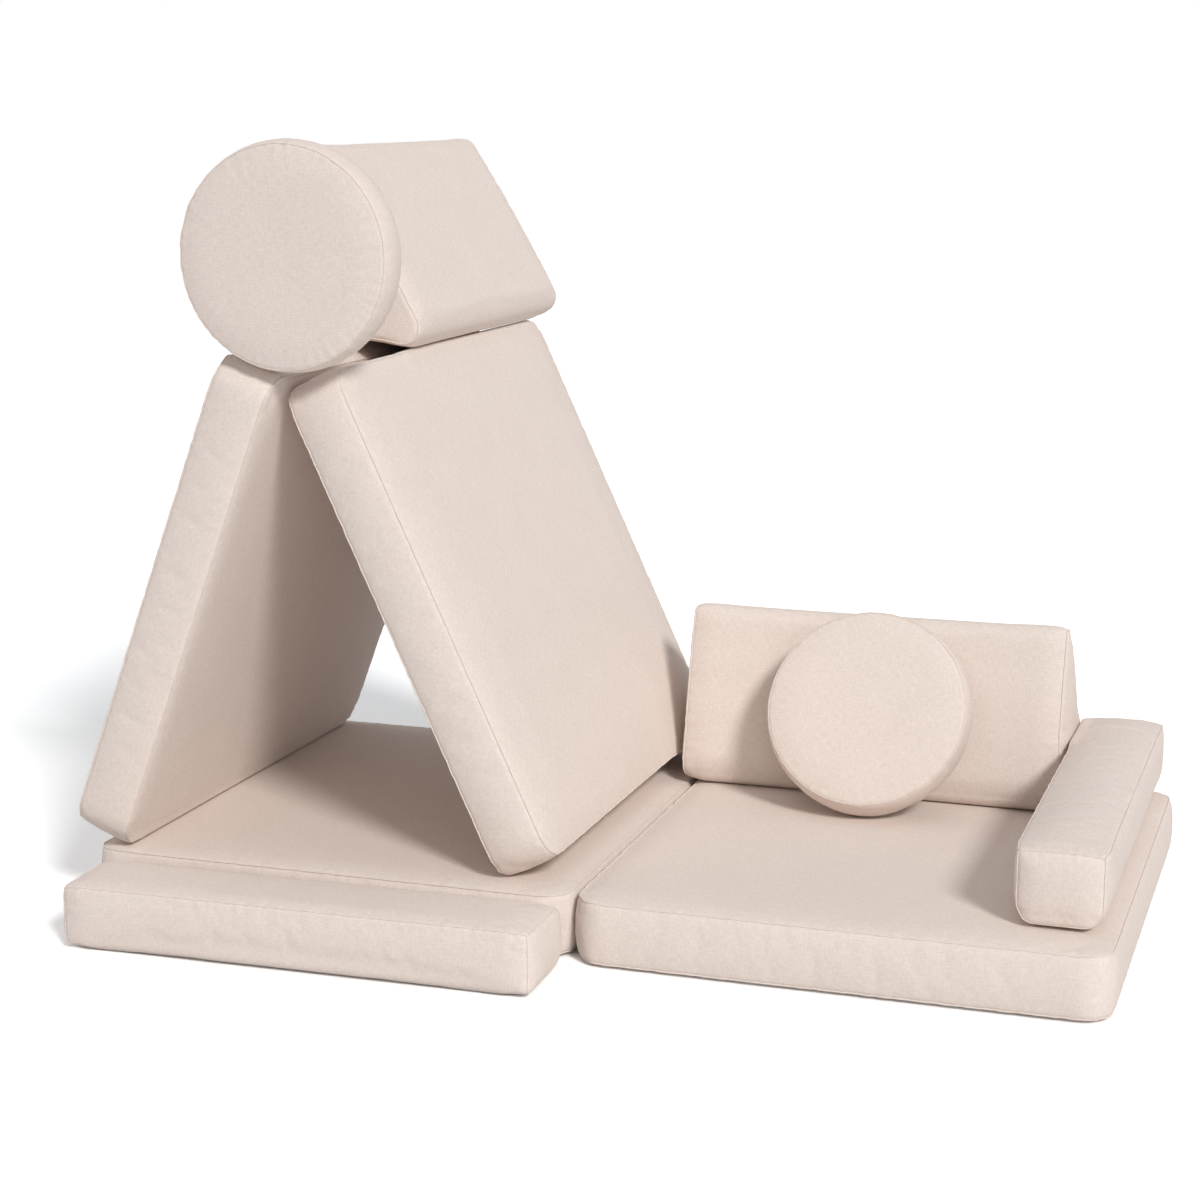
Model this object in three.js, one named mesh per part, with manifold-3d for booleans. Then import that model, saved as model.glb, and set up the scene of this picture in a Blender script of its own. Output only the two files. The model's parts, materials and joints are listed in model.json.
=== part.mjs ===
// Modular foam play sofa: ten loose cushions set up as a seat beside a small tent.
// Millimetres, +Z up, +Y to the back, +X to the right as seen from the front.
// The origin is the middle of the bounding box, at its bottom.

import * as THREE from 'three';
import { mergeVertices } from 'three/addons/utils/BufferGeometryUtils.js';
import Module from 'manifold-3d';

const wasm = await Module();
wasm.setup();

// Clearances shared by every cushion
const restGap = 0.3; // left between pieces that rest on or fill each other
const cutOverrun = 5; // how far a cut runs past the surface that it opens
const coverWall = 3; // woven cover with its backing

// Mats: two lie side by side as the base, two stand against each other as the tent
const matWidth = 840;
const matDepth = 920;
const matThickness = 112;
const matCorner = 52;
const panelHeight = 848; // the standing mats stretch a little
const panelSwell = 9; // how far their outer faces swell past the seams' own height

// Front block, lying on the floor in front of the left mat
const blockLength = 800;
const blockDepth = 174;
const blockHeight = 111;
const blockFrontRadius = 8;
const blockRearRadius = 36;
const blockCrown = 1;

// Arm block, on the right edge of the right mat
const armLength = 847;
const armWidth = 148;
const armHeight = 127;
const armLowerRadius = 38;
const armUpperRadius = 10;
const armCrown = 15;

// Wedges: one is the backrest, one lies on top of the tent
const wedgeLength = matWidth - armWidth; // a wedge and an arm block together span a mat
const wedgeBase = 362;
const wedgeTop = 34;
const wedgeHeight = 318;
const wedgeFrontRun = 88;
const wedgeLowerRadius = 36;
const wedgeUpperRadius = 24;
const wedgeBow = 4; // how far its two tall faces swell in the middle

// Round cushions: one leans on the backrest, one stands in the notch above the tent
const discRadius = 180;
const discThickness = 80;

// Sewn edges: the seam lies lower than the crown and is drawn in behind the wall
const seamDrop = 5;
const endDrop = 11; // on the narrow ends of the blocks and wedges
const pressedSeamDrop = 3; // on a face that the cushion lies on
const seamDrawIn = 6;
const seamShoulder = 34; // from the seam to where the wall stands full
const crownShares = { mat: 0.2, panel: 0.5, block: 0.5, arm: 0.6, wedge: 0.7, disc: 0.5 };
const crownMidShares = { reach: 0.5, drop: 0.2 };
const crownEdgeShares = { reach: 0.14, drop: 0.62 };
const shoulderShares = { inset: 0.4, drop: 0.35 };

// Zips: each runs in the bottom of a narrow channel, below the cover's surface
const channelWidth = 14;
const channelDepth = 7;
const channelEndRoom = 6;
const tapeWidth = 7;
const chainWidth = 3;
const chainHeight = 1.4;
const matZip = 600;
const blockZip = 560;
const armZip = 620;
const wedgeZip = 480;
const discZipAngle = THREE.MathUtils.degToRad(110);
const sliderLength = 10;
const sliderWidth = 8;
const sliderHeight = 3.2;
const pullLength = 17;
const pullWidth = 4.4;
const pullThickness = 1.2;

// Where the cushions stand
const leftMatSetback = 10; // the left mat's front, behind the right mat's
const blockOverhang = 5; // the block's right end, past the left mat's right edge
const blockTurn = THREE.MathUtils.degToRad(1.2); // its left end stands off the mat
const armSideInset = 23; // the arm block's right side, in from the right mat's
const tentTurn = THREE.MathUtils.degToRad(-0.5); // the whole tent, seen from above
const rightPanelSetback = 18; // its front, behind the left mat's
const leftPanelSetback = -24; // it stands further forward
const leftFootInset = 74; // the left panel's foot, in from the left mat's edge
const rightFootInset = 125; // the right panel's foot, in from the left mat's right edge
const rightPanelLean = THREE.MathUtils.degToRad(25.1);
const topDiscOverhang = 11; // in front of the left panel's front
const topWedgeSetback = 277; // behind the right panel's front
const topWedgeOverhang = 46; // right of the right panel's top
const backWedgeSetback = 655; // behind the right mat's front
const backDiscAcross = 338; // from the right mat's left edge
const backDiscFoot = 84; // in front of the wedge's front edge

// Detail of the curved outlines
const outerArcSteps = 6;
const innerArcSteps = 3;
const outerRoundSides = 48;
const innerRoundSides = 24;
const bowSteps = 3;
const smallestRadius = 1;

const coverMaterial = { color: 0xe2d6cb, roughness: 0.95, metalness: 0 };
const foamMaterial = { color: 0xf1e7c9, roughness: 0.9, metalness: 0 };
const tapeMaterial = { color: 0xd3c6b8, roughness: 0.8, metalness: 0 };
const sliderMaterial = { color: 0xb8b1a7, roughness: 0.4, metalness: 0.7 };

// Outlines: each returns the closed ring of points, drawn in by inset

function polygonOutline(corners, radii, bows) {
  const count = corners.length;
  const sides = corners.map((corner, i) => {
    const along = corners[(i + 1) % count].clone().sub(corner);
    const length = along.length();
    const direction = along.divideScalar(length);
    return { direction, outward: new THREE.Vector2(direction.y, -direction.x) };
  });

  function insetCorner(i, inset) {
    const before = sides[(i + count - 1) % count];
    const after = sides[i];
    const turn = Math.acos(before.direction.dot(after.direction));
    const inward = before.outward.clone().add(after.outward).normalize();
    return { turn, point: corners[i].clone().addScaledVector(inward, -inset / Math.cos(turn / 2)) };
  }

  return (inset, fine) => {
    const steps = fine ? outerArcSteps : innerArcSteps;
    const ring = [];
    for (let i = 0; i < count; i += 1) {
      const { turn, point } = insetCorner(i, inset);
      const radius = Math.max(radii[i] - inset, smallestRadius);
      const start = sides[(i + count - 1) % count];
      const centre = point
        .clone()
        .addScaledVector(start.direction, -radius * Math.tan(turn / 2))
        .addScaledVector(start.outward, -radius);
      const spoke = start.outward.clone().multiplyScalar(radius);
      for (let k = 0; k <= steps; k += 1) {
        ring.push(spoke.clone().rotateAround(new THREE.Vector2(), (turn * k) / steps).add(centre));
      }
      if (bows[i] > 0) {
        const from = ring[ring.length - 1];
        const next = insetCorner((i + 1) % count, inset);
        const reach = Math.max(radii[(i + 1) % count] - inset, smallestRadius) * Math.tan(next.turn / 2);
        const to = next.point.clone().addScaledVector(sides[i].direction, -reach);
        for (let k = 1; k < bowSteps; k += 1) {
          const share = k / bowSteps;
          const swell = bows[i] * 4 * share * (1 - share);
          ring.push(from.clone().lerp(to, share).addScaledVector(sides[i].outward, swell));
        }
      }
    }
    return ring;
  };
}

function rectangleOutline(width, depth, radii, bows) {
  const corners = [
    new THREE.Vector2(0, 0),
    new THREE.Vector2(width, 0),
    new THREE.Vector2(width, depth),
    new THREE.Vector2(0, depth),
  ];
  return polygonOutline(corners, radii, bows);
}

function roundOutline(radius) {
  return (inset, fine) => {
    const sides = fine ? outerRoundSides : innerRoundSides;
    return Array.from({ length: sides }, (_, k) =>
      new THREE.Vector2(radius - inset, 0).rotateAround(new THREE.Vector2(), (2 * Math.PI * k) / sides),
    );
  };
}

function crownRow(drop, crownShare, shares) {
  return { share: crownShare * shares.reach, inset: seamDrawIn, below: drop * shares.drop, fineOnly: true };
}

// Rows of a sewn edge, from the flat of the crown out to the full wall:
// share draws a point in towards the middle, inset draws the whole outline in.
function edgeRows(drop, crownShare, fine) {
  const rows = [
    { share: crownShare, inset: seamDrawIn, below: 0 },
    crownRow(drop, crownShare, crownMidShares),
    crownRow(drop, crownShare, crownEdgeShares),
    { share: 0, inset: seamDrawIn, below: drop },
    {
      share: 0,
      inset: seamDrawIn * shoulderShares.inset,
      below: drop + seamShoulder * shoulderShares.drop,
      fineOnly: true,
    },
    { share: 0, inset: 0, below: drop + seamShoulder },
  ];
  return rows.filter((row) => fine || !row.fineOnly);
}

// A cushion's heights and ring shapes, from its lower crown to its upper one
function cushionRows(shape, shrink, fine) {
  const lower = edgeRows(shape.lowerDrop, shape.crownShare, fine).map((row) => ({
    ...row,
    height: shrink + row.below,
  }));
  const upper = edgeRows(shape.upperDrop, shape.crownShare, fine).map((row) => ({
    ...row,
    height: shape.thickness - shrink - row.below,
  }));
  return [...lower, ...upper.reverse()];
}

function cushionGeometry(shape, shrink, fine) {
  const rings = cushionRows(shape, shrink, fine).map((row) => {
    const ring = shape.outline(row.inset + shrink, fine);
    const middle = ring.reduce((sum, p) => sum.add(p), new THREE.Vector2()).divideScalar(ring.length);
    return ring.map((p) => {
      const q = p.clone().lerp(middle, row.share);
      return [q.x, q.y, row.height];
    });
  });
  const sides = rings[0].length;
  const indices = [];
  for (let r = 0; r + 1 < rings.length; r += 1) {
    for (let k = 0; k < sides; k += 1) {
      const a = r * sides + k;
      const b = r * sides + ((k + 1) % sides);
      indices.push(a, b, b + sides, a, b + sides, a + sides);
    }
  }
  const top = (rings.length - 1) * sides;
  for (let k = 1; k + 1 < sides; k += 1) {
    indices.push(0, k + 1, k, top, top + k, top + k + 1);
  }
  return meshGeometry(rings.flat(2), indices);
}

// Solids and booleans

function meshGeometry(positions, indices) {
  const geometry = new THREE.BufferGeometry();
  geometry.setAttribute('position', new THREE.BufferAttribute(new Float32Array(positions), 3));
  geometry.setIndex(new THREE.BufferAttribute(new Uint32Array(indices), 1));
  return geometry;
}

function solidOf(geometry) {
  const mesh = new wasm.Mesh({
    numProp: 3,
    vertProperties: geometry.getAttribute('position').array,
    triVerts: new Uint32Array(geometry.getIndex().array),
  });
  return new wasm.Manifold(mesh);
}

function geometryOf(solid) {
  const mesh = solid.getMesh();
  return meshGeometry(mesh.vertProperties, mesh.triVerts);
}

// A box between two corners
function boxSolid(low, high, frame) {
  const from = new THREE.Vector3(...low);
  const to = new THREE.Vector3(...high);
  const size = to.clone().sub(from);
  const centre = from.clone().add(to).divideScalar(2);
  const box = new THREE.BoxGeometry(size.x, size.y, size.z);
  box.translate(centre.x, centre.y, centre.z);
  box.deleteAttribute('normal');
  box.deleteAttribute('uv');
  return solidOf(mergeVertices(box).applyMatrix4(frame));
}

// A bar bent round the Z axis: from one radius and height to another, between two angles
function bentBarSolid(low, high, angles, frame) {
  const [innerRadius, bottom] = low;
  const [outerRadius, top] = high;
  const turns = Array.from({ length: outerRoundSides }, (_, k) => (2 * Math.PI * k) / outerRoundSides);
  const stops = [angles[0], ...turns.filter((turn) => turn > angles[0] && turn < angles[1]), angles[1]];
  const steps = stops.length - 1;
  const positions = [];
  for (const angle of stops) {
    const [c, s] = [Math.cos(angle), Math.sin(angle)];
    positions.push(innerRadius * c, innerRadius * s, bottom, outerRadius * c, outerRadius * s, bottom);
    positions.push(outerRadius * c, outerRadius * s, top, innerRadius * c, innerRadius * s, top);
  }
  const indices = [0, 1, 2, 0, 2, 3];
  for (let k = 0; k < steps; k += 1) {
    for (let j = 0; j < 4; j += 1) {
      const a = 4 * k + j;
      const b = 4 * k + ((j + 1) % 4);
      indices.push(a, a + 4, b + 4, a, b + 4, b);
    }
  }
  const end = 4 * steps;
  indices.push(end, end + 2, end + 1, end, end + 3, end + 2);
  return solidOf(meshGeometry(positions, indices).applyMatrix4(frame));
}

// Zips: a straight one is built along X with Z out of the cover, then moved by its frame

function straightZip(length, frame) {
  const halfLength = length / 2;
  const bar = (halfRun, halfWidth, low, high) =>
    boxSolid([-halfRun, -halfWidth, low], [halfRun, halfWidth, high], frame);
  const sliderAt = -halfLength + channelEndRoom + sliderLength / 2;
  const piece = (x0, x1, halfWidth, low, high) => {
    const from = [sliderAt + x0, -halfWidth, low];
    return boxSolid(from, [sliderAt + x1, halfWidth, high], frame);
  };
  return zipSolids(
    (grow) => bar(halfLength + grow, channelWidth / 2 + grow, -channelDepth - grow, cutOverrun),
    (ease, low, high, width) => bar(halfLength - channelEndRoom - ease, width / 2 - ease, low, high),
    piece,
  );
}

function bentZip(radius, middleHeight, angle, frame) {
  const middle = Math.PI;
  const toAngle = (length) => length / radius;
  const bar = (halfAngle, halfWidth, low, high) =>
    bentBarSolid(
      [radius + low, middleHeight - halfWidth],
      [radius + high, middleHeight + halfWidth],
      [middle - halfAngle, middle + halfAngle],
      frame,
    );
  const sliderAngle = middle + angle / 2 - toAngle(channelEndRoom + sliderLength / 2);
  const piece = (x0, x1, halfWidth, low, high) => {
    const turned = frame.clone().multiply(new THREE.Matrix4().makeRotationZ(sliderAngle));
    const from = [radius + low, -x1, middleHeight - halfWidth];
    return boxSolid(from, [radius + high, -x0, middleHeight + halfWidth], turned);
  };
  return zipSolids(
    (grow) => bar(angle / 2 + toAngle(grow), channelWidth / 2 + grow, -channelDepth - grow, cutOverrun),
    (ease, low, high, width) =>
      bar(angle / 2 - toAngle(channelEndRoom + ease), width / 2 - ease, low, high),
    piece,
  );
}

function zipSolids(channel, strip, piece) {
  const floor = -channelDepth;
  const tape = strip(restGap, floor - coverWall, floor, tapeWidth);
  const chainTop = floor + chainHeight;
  const chain = strip(restGap, floor - coverWall / 2, chainTop, chainWidth);
  const bodyTop = floor + restGap + sliderHeight;
  const reach = sliderLength / 2;
  const body = piece(-reach, reach, sliderWidth / 2, floor + restGap, bodyTop);
  const tunnelHalf = chainWidth / 2 + restGap;
  const tunnelEnd = reach + cutOverrun;
  const tunnel = piece(-tunnelEnd, tunnelEnd, tunnelHalf, floor - cutOverrun, chainTop + restGap);
  const pull = piece(0, pullLength, pullWidth / 2, bodyTop - pullThickness / 2, bodyTop + pullThickness / 2);
  return {
    channel,
    slot: strip(0, floor - coverWall - cutOverrun, floor + cutOverrun, tapeWidth),
    zip: tape.add(chain),
    slider: body.subtract(tunnel).add(pull),
  };
}

// One cushion: its cover, foam, zip and slider as a group in the cushion's own frame

function makeCushion(name, shape, zip) {
  const outer = solidOf(cushionGeometry(shape, 0, true));
  const cavity = solidOf(cushionGeometry(shape, coverWall, false)).subtract(zip.channel(coverWall));
  const filling = solidOf(cushionGeometry(shape, coverWall + restGap, false));
  const cover = outer.subtract(cavity).subtract(zip.channel(0)).subtract(zip.slot);
  const foam = filling.subtract(zip.channel(coverWall + restGap));
  const group = new THREE.Group();
  const add = (part, solid, material) => {
    const mesh = new THREE.Mesh(geometryOf(solid), new THREE.MeshStandardMaterial(material));
    mesh.name = `${name}_${part}`;
    group.add(mesh);
  };
  add('cover', cover, coverMaterial);
  add('foam', foam, foamMaterial);
  add('zip', zip.zip, tapeMaterial);
  add('slider', zip.slider, sliderMaterial);
  return group;
}

// The columns are where the zip's length, width and outward side point
function zipFrame(along, outward, origin) {
  const across = outward.clone().cross(along);
  return new THREE.Matrix4().makeBasis(along, across, outward).setPosition(origin);
}

const axisX = new THREE.Vector3(1, 0, 0);
const axisY = new THREE.Vector3(0, 1, 0);
const axisZ = new THREE.Vector3(0, 0, 1);

const matOutline = (width) => rectangleOutline(width, matDepth, Array(4).fill(matCorner), Array(4).fill(0));
const lyingMat = {
  outline: matOutline(matWidth),
  thickness: matThickness,
  lowerDrop: pressedSeamDrop,
  upperDrop: seamDrop,
  crownShare: crownShares.mat,
};
const swollen = {
  outline: matOutline(panelHeight),
  thickness: matThickness + panelSwell,
  crownShare: crownShares.panel,
};
const leftPanel = { ...swollen, lowerDrop: seamDrop, upperDrop: seamDrop + panelSwell };
const rightPanel = { ...swollen, lowerDrop: seamDrop + panelSwell, upperDrop: seamDrop };
const frontBlock = {
  outline: rectangleOutline(
    blockDepth,
    blockHeight,
    [blockFrontRadius, blockRearRadius, blockRearRadius, blockFrontRadius],
    [0, 0, blockCrown, 0],
  ),
  thickness: blockLength,
  lowerDrop: endDrop,
  upperDrop: endDrop,
  crownShare: crownShares.block,
};
const armBlock = {
  outline: rectangleOutline(
    armWidth,
    armHeight,
    [armLowerRadius, armLowerRadius, armUpperRadius, armUpperRadius],
    [0, 0, armCrown, 0],
  ),
  thickness: armLength,
  lowerDrop: endDrop,
  upperDrop: endDrop,
  crownShare: crownShares.arm,
};
const wedge = {
  outline: polygonOutline(
    [
      new THREE.Vector2(0, 0),
      new THREE.Vector2(wedgeBase, 0),
      new THREE.Vector2(wedgeFrontRun + wedgeTop, wedgeHeight),
      new THREE.Vector2(wedgeFrontRun, wedgeHeight),
    ],
    [wedgeLowerRadius, wedgeLowerRadius, wedgeUpperRadius, wedgeUpperRadius],
    [0, wedgeBow, 0, wedgeBow],
  ),
  thickness: wedgeLength,
  lowerDrop: endDrop,
  upperDrop: endDrop,
  crownShare: crownShares.wedge,
};
const disc = {
  outline: roundOutline(discRadius),
  thickness: discThickness,
  lowerDrop: seamDrop,
  upperDrop: seamDrop,
  crownShare: crownShares.disc,
};

const blockZipAt = new THREE.Vector3(blockDepth, blockHeight / 2, blockLength / 2);
const armZipAt = new THREE.Vector3(armWidth / 2, 0, armLength / 2);
const wedgeZipAt = new THREE.Vector3(wedgeBase / 2, 0, wedgeLength / 2);
const downY = axisY.clone().negate();

const makeMat = (name, shape, width) => {
  const betweenSeams = (shape.lowerDrop + shape.thickness - shape.upperDrop) / 2;
  const at = new THREE.Vector3(width / 2, matDepth, betweenSeams);
  return makeCushion(name, shape, straightZip(matZip, zipFrame(axisX, axisY, at)));
};
const makeWedge = (name) => {
  const zip = straightZip(wedgeZip, zipFrame(axisZ, downY, wedgeZipAt));
  return makeCushion(name, wedge, zip);
};
const makeDisc = (name) => {
  const zip = bentZip(discRadius, discThickness / 2, discZipAngle, new THREE.Matrix4());
  return makeCushion(name, disc, zip);
};

// Flat sections, used to find where one cushion comes to rest on another

function wallSection(shape, width) {
  const rows = cushionRows(shape, 0, true);
  const right = rows.map((row) => new THREE.Vector2(width - row.inset - (row.share * width) / 2, row.height));
  const left = rows.map((row) => new THREE.Vector2(row.inset + (row.share * width) / 2, row.height));
  return [...right, ...left.reverse()];
}

function placedSection(points, angle, origin) {
  return points.map((p) => p.clone().rotateAround(new THREE.Vector2(), -angle).add(origin));
}

function distanceToEdges(point, section) {
  let nearest = Infinity;
  section.forEach((from, i) => {
    const to = section[(i + 1) % section.length];
    const along = to.clone().sub(from);
    const share = THREE.MathUtils.clamp(point.clone().sub(from).dot(along) / along.lengthSq(), 0, 1);
    nearest = Math.min(nearest, point.distanceTo(from.clone().addScaledVector(along, share)));
  });
  return nearest;
}

function isInside(point, section) {
  return section.every((from, i) => {
    const to = section[(i + 1) % section.length];
    return to.clone().sub(from).cross(point.clone().sub(from)) > 0;
  });
}

// The gap between two convex sections, negative where they overlap
function sectionGap(a, b) {
  const reach = (points, other) =>
    points.reduce((least, p) => {
      const distance = distanceToEdges(p, other);
      return Math.min(least, isInside(p, other) ? -distance : distance);
    }, Infinity);
  return Math.min(reach(a, b), reach(b, a));
}

// The value between low and high where gapAt falls to the gap that resting pieces keep
function restAt(gapAt, clear, touching) {
  let [free, blocked] = [clear, touching];
  for (let k = 0; k < 50; k += 1) {
    const middle = (free + blocked) / 2;
    if (gapAt(middle) > restGap) free = middle;
    else blocked = middle;
  }
  return free;
}

const highest = (section) => Math.max(...section.map((p) => p.y));
const rightmost = (section) => Math.max(...section.map((p) => p.x));
const leftmost = (section) => Math.min(...section.map((p) => p.x));

// Base: the right mat's left front corner is the working origin

const floorTop = matThickness + restGap;
const leftMatX = -matWidth - restGap;
const leftMatY = leftMatSetback;
const rightMatX = 0;
const armX = rightMatX + matWidth - armSideInset - armWidth;
const wedgeX = armX - restGap - wedgeLength;
const wedgeY = backWedgeSetback;

// Tent: the right panel's lean is set, the left panel comes to rest against it

const leftPanelWall = wallSection(leftPanel, panelHeight);
const rightPanelWall = wallSection(rightPanel, panelHeight);
const uprightTurn = -Math.PI / 2;

function rightPanelOrigin() {
  const turned = placedSection(rightPanelWall, uprightTurn - rightPanelLean, new THREE.Vector2());
  const foot = turned.reduce((low, p) => (p.y < low.y ? p : low));
  return new THREE.Vector2(leftMatX + matWidth - rightFootInset - foot.x, floorTop - foot.y);
}

function leftPanelOrigin(lean) {
  const turned = placedSection(leftPanelWall, uprightTurn + lean, new THREE.Vector2());
  const foot = turned.reduce((low, p) => (p.y < low.y ? p : low));
  return new THREE.Vector2(leftMatX + leftFootInset - foot.x, floorTop - foot.y);
}

const rightOrigin = rightPanelOrigin();
const rightSection = placedSection(rightPanelWall, uprightTurn - rightPanelLean, rightOrigin);
const leftSectionAt = (lean) => placedSection(leftPanelWall, uprightTurn + lean, leftPanelOrigin(lean));
const leftPanelLean = restAt((lean) => sectionGap(leftSectionAt(lean), rightSection), 0, Math.PI / 4);
const leftOrigin = leftPanelOrigin(leftPanelLean);
const leftSection = leftSectionAt(leftPanelLean);
const rightPanelY = leftMatY + rightPanelSetback;
const leftPanelY = leftMatY + leftPanelSetback;

// Top wedge: its base lies across the highest corners of both panels

function supportAlong(section, tilt) {
  const up = new THREE.Vector2(Math.sin(tilt), Math.cos(tilt));
  return Math.max(...section.map((p) => p.dot(up)));
}

function tiltAcross(left, right) {
  let [low, high] = [-Math.PI / 6, Math.PI / 6];
  for (let k = 0; k < 50; k += 1) {
    const tilt = (low + high) / 2;
    if (supportAlong(left, tilt) > supportAlong(right, tilt)) low = tilt;
    else high = tilt;
  }
  return low;
}

const topTilt = tiltAcross(leftSection, rightSection);
const topUp = new THREE.Vector2(Math.sin(topTilt), Math.cos(topTilt));
const topAlong = new THREE.Vector2(Math.cos(topTilt), -Math.sin(topTilt));
const topWedgeRight = rightmost(rightSection.filter((p) => p.y > highest(rightSection) - matThickness / 2));
const topWedgeBaseHeight = supportAlong(rightSection, topTilt) + restGap;
const topWedgeCorner = topWedgeRight + topWedgeOverhang;
const topWedgeEnd = topWedgeCorner / Math.cos(topTilt) - topWedgeBaseHeight * Math.tan(topTilt);
const topWedgeOrigin = topUp
  .clone()
  .multiplyScalar(topWedgeBaseHeight)
  .addScaledVector(topAlong, topWedgeEnd - wedgeBase);

// Top disc: it sinks into the notch until it touches both panels

function rimInset(depth) {
  const rows = cushionRows(disc, 0, true);
  const i = rows.findIndex((row, k) => k > 0 && row.height >= depth);
  const share = (depth - rows[i - 1].height) / (rows[i].height - rows[i - 1].height);
  return THREE.MathUtils.lerp(rows[i - 1].inset, rows[i].inset, share);
}

// The panels' front corners curve down below the disc's full rim, so it sits this much lower
function cornerClearance() {
  const share = (k) => k / outerRoundSides;
  const depths = Array.from({ length: outerRoundSides }, (_, k) => matCorner * share(k));
  const clearances = depths.map((depth) => {
    const cornerDrop = matCorner - matCorner * Math.sin(Math.acos(1 - depth / matCorner));
    return cornerDrop + rimInset(discThickness - topDiscOverhang - depth);
  });
  return Math.min(...clearances);
}

const roundSection = disc.outline(cornerClearance(), true);
const discSectionAt = (x, z) => roundSection.map((p) => p.clone().add(new THREE.Vector2(x, z)));
const notchTop = Math.max(highest(leftSection), highest(rightSection)) + discRadius;
const apexX = leftmost(rightSection);

function discHeightAt(x) {
  const gapAt = (z) => {
    const section = discSectionAt(x, z);
    return Math.min(sectionGap(section, leftSection), sectionGap(section, rightSection));
  };
  return restAt(gapAt, notchTop + restGap * 2, notchTop - discRadius);
}

function discRest() {
  let [low, high] = [apexX - matThickness, apexX + matThickness];
  for (let k = 0; k < 30; k += 1) {
    const x = (low + high) / 2;
    const section = discSectionAt(x, discHeightAt(x));
    if (sectionGap(section, leftSection) < sectionGap(section, rightSection)) low = x;
    else high = x;
  }
  return new THREE.Vector2(low, discHeightAt(low));
}

const topDiscCentre = discRest();

// Back disc: its foot is set, it leans back until it touches the wedge

const wedgeSection = wedge.outline(0, true).map((p) => p.clone().add(new THREE.Vector2(wedgeY, floorTop)));
const discWallCentre = new THREE.Vector2(discRadius, 0);
const discWall = wallSection(disc, 2 * discRadius).map((p) => p.clone().sub(discWallCentre));

function leaningDisc(lean) {
  const turned = placedSection(discWall, uprightTurn + lean, new THREE.Vector2());
  const foot = turned.reduce((low, p) => (p.y < low.y ? p : low));
  const origin = new THREE.Vector2(wedgeY - backDiscFoot - foot.x, floorTop - foot.y);
  return { origin, section: turned.map((p) => p.clone().add(origin)) };
}

const backDiscLean = restAt((lean) => sectionGap(leaningDisc(lean).section, wedgeSection), 0, Math.PI / 3);
const backDiscOrigin = leaningDisc(backDiscLean).origin;

// Assembly

const sofa = new THREE.Group();
const tent = new THREE.Group();
tent.rotation.z = tentTurn;
sofa.add(tent);

function place(group, cushion, columns, x, y, z) {
  cushion.applyMatrix4(new THREE.Matrix4().makeBasis(...columns).setPosition(x, y, z));
  group.add(cushion);
}

const flat = [axisX, axisY, axisZ];
const turnedAboutY = (angle) => {
  const along = new THREE.Vector3(Math.cos(angle), 0, -Math.sin(angle));
  return [along, axisY, new THREE.Vector3(Math.sin(angle), 0, Math.cos(angle))];
};

place(sofa, makeMat('left_mat', lyingMat, matWidth), flat, leftMatX, leftMatY, 0);
place(sofa, makeMat('right_mat', lyingMat, matWidth), flat, rightMatX, 0, 0);

const leftCushion = makeMat('left_panel', leftPanel, panelHeight);
const leftAxes = turnedAboutY(uprightTurn + leftPanelLean);
place(tent, leftCushion, leftAxes, leftOrigin.x, leftPanelY, leftOrigin.y);

const rightCushion = makeMat('right_panel', rightPanel, panelHeight);
const rightAxes = turnedAboutY(uprightTurn - rightPanelLean);
place(tent, rightCushion, rightAxes, rightOrigin.x, rightPanelY, rightOrigin.y);

const blockStand = new THREE.Group();
const blockContact = seamShoulder * Math.sin(blockTurn);
blockStand.position.set(leftMatX + matWidth + blockOverhang, leftMatY - restGap + blockContact, 0);
blockStand.rotation.z = blockTurn;
sofa.add(blockStand);
const blockZipFrame = zipFrame(axisZ, axisX, blockZipAt);
const acrossFront = [axisY, axisZ, axisX];
const block = makeCushion('front_block', frontBlock, straightZip(blockZip, blockZipFrame));
place(blockStand, block, acrossFront, -blockLength, -blockDepth, 0);

const endOn = [axisX, axisZ, downY];
const armZipFrame = zipFrame(axisZ, downY, armZipAt);
const arm = makeCushion('arm_block', armBlock, straightZip(armZip, armZipFrame));
place(sofa, arm, endOn, armX, matDepth, floorTop);

place(sofa, makeWedge('back_wedge'), acrossFront, wedgeX, wedgeY, floorTop);
const tilted = [new THREE.Vector3(topAlong.x, 0, topAlong.y), new THREE.Vector3(topUp.x, 0, topUp.y), downY];
const topWedgeBack = rightPanelY + topWedgeSetback + wedgeLength;
place(tent, makeWedge('top_wedge'), tilted, topWedgeOrigin.x, topWedgeBack, topWedgeOrigin.y);

const topDiscBack = leftPanelY - topDiscOverhang + discThickness;
place(tent, makeDisc('top_disc'), endOn, topDiscCentre.x, topDiscBack, topDiscCentre.y);

const leanUp = new THREE.Vector3(0, Math.sin(backDiscLean), Math.cos(backDiscLean));
const leanOut = axisX.clone().cross(leanUp);
const discX = rightMatX + backDiscAcross;
place(sofa, makeDisc('back_disc'), [axisX, leanUp, leanOut], discX, backDiscOrigin.x, backDiscOrigin.y);

const bounds = new THREE.Box3().setFromObject(sofa, true);
const middle = bounds.getCenter(new THREE.Vector3());
sofa.position.set(-middle.x, -middle.y, -bounds.min.z);

export default sofa;
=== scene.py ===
# Modular foam play sofa: ten loose cushions in one woven linen-look cloth.
# Metres, +Z up, +Y to the back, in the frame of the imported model.

import json
import math
from collections import namedtuple
from itertools import product

import bmesh
import bpy
import numpy as np
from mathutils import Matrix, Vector, noise
from mathutils.bvhtree import BVHTree
from mathutils.kdtree import KDTree


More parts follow.
